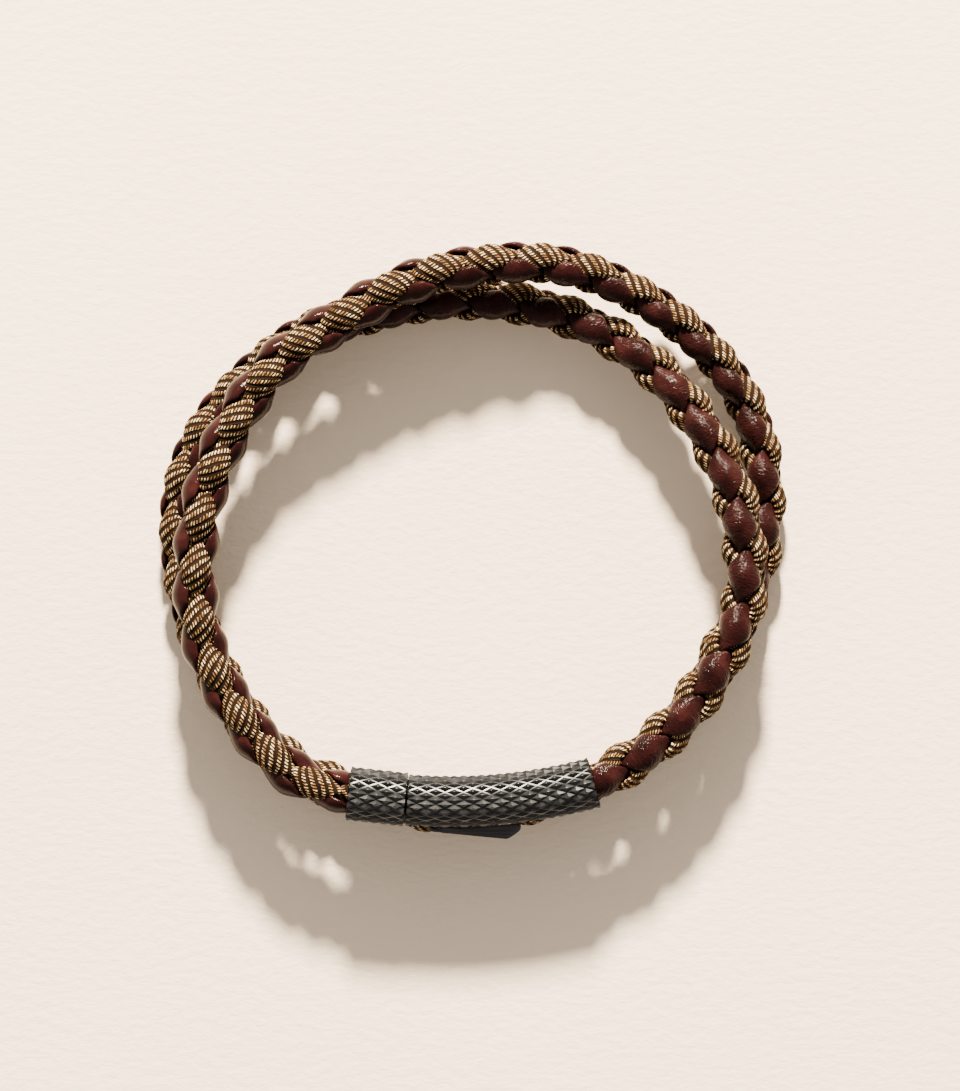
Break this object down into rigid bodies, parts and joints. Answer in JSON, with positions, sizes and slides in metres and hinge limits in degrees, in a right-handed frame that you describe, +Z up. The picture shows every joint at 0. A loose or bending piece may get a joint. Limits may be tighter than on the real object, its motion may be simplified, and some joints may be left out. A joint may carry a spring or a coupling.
{
  "type": "leather wrap bracelet",
  "caption": "Round braid of leather and ribbed textile strands that wraps the wrist in stacked turns, closed by a knurled metal clasp with a hinged locking lever.",
  "frame": {"origin": "on the surface that the bracelet lies on, below the middle of its bounding box", "axes": "+Z up through the wrist opening, +X to the right along the clasp, +Y from the clasp to the far side"},
  "size_m": [0.0757, 0.0715, 0.0125],
  "materials": {
    "leather": "polished burgundy-brown leather",
    "textile": "ribbed brown and gold textile",
    "gunmetal": "knurled gunmetal",
    "dark_metal": "smooth dark gunmetal"
  },
  "bodies": {
    "bracelet": {"leather_1_turn_1": "leather", "leather_1_turn_2": "leather", "leather_2_turn_1": "leather", "leather_2_turn_2": "leather", "textile_1_turn_1": "textile", "textile_1_turn_2": "textile", "textile_2_turn_1": "textile", "textile_2_turn_2": "textile", "short_sleeve": "gunmetal", "long_sleeve": "gunmetal", "coupling_post": "gunmetal"},
    "lever": {"lever": "dark_metal"}
  },
  "joints": [
    {"name": "lever_hinge", "type": "hinge", "parent": "bracelet", "child": "lever", "pos_m": [-0.00445, -0.03407, 0.0063], "axis": [0, 0, -1], "range_deg": [0, 100]}
  ]
}
